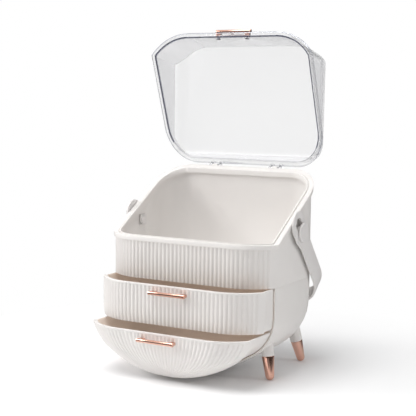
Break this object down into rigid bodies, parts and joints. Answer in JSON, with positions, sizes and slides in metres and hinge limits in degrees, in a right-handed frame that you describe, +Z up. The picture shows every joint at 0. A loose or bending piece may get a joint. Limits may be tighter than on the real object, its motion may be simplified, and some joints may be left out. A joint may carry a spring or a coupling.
{
  "type": "makeup organizer",
  "caption": "Reeded makeup organizer with an open tub, a clear hinged lid, bowed drawers with bar pulls, a strap handle and splayed legs.",
  "frame": {"origin": "on the floor, at the middle of the part's outline as it stands with its lid and drawers open", "axes": "+X to the right across the front, +Y from the front to the back, +Z up"},
  "size_m": [0.2672, 0.2569, 0.4569],
  "materials": {
    "white_plastic": "satin moulded plastic",
    "clear_plastic": "clear polished plastic",
    "rose_metal": "polished rose-gold plating",
    "steel": "plain steel"
  },
  "bodies": {
    "case": {"upper_tub": "white_plastic", "lower_housing": "white_plastic", "drawer_shelf": "white_plastic", "hinge_pins": "steel", "front_left_leg": "white_plastic", "front_right_leg": "white_plastic", "back_left_leg": "white_plastic", "back_right_leg": "white_plastic", "front_left_foot": "rose_metal", "front_right_foot": "rose_metal", "back_left_foot": "rose_metal", "back_right_foot": "rose_metal"},
    "upper_drawer": {"upper_drawer_tray": "white_plastic", "upper_drawer_front": "white_plastic", "upper_pull": "rose_metal", "upper_pull_screws": "steel"},
    "lower_drawer": {"lower_drawer_tray": "white_plastic", "lower_drawer_front": "white_plastic", "lower_pull": "rose_metal", "lower_pull_screws": "steel"},
    "lid": {"lid_shell": "clear_plastic", "lid_pull": "rose_metal", "lid_pull_block": "clear_plastic", "lid_pull_screws": "steel"},
    "handle_studs": {"left_stud": "white_plastic", "right_stud": "white_plastic", "left_stud_clip": "white_plastic", "right_stud_clip": "white_plastic"},
    "handle": {"carry_handle": "white_plastic"}
  },
  "joints": [
    {"name": "lid_hinge", "type": "hinge", "parent": "case", "child": "lid", "pos_m": [0, 0.1102, 0.2642], "axis": [1, 0, 0], "range_deg": [0, 102]},
    {"name": "upper_drawer_slide", "type": "slide", "parent": "case", "child": "upper_drawer", "axis": [0, -1, 0], "range_m": [-0.027, 0.068]},
    {"name": "lower_drawer_slide", "type": "slide", "parent": "case", "child": "lower_drawer", "axis": [0, -1, 0], "range_m": [-0.055, 0.04]},
    {"name": "handle_swing", "type": "hinge", "parent": "case", "child": "handle_studs", "pos_m": [0, 0.0278, 0.1895], "axis": [1, 0, 0], "range_deg": [0, 80]},
    {"name": "handle_slide", "type": "slide", "parent": "handle_studs", "child": "handle", "axis": [0, 0.6361, -0.7716], "range_m": [0, 0.015]}
  ]
}
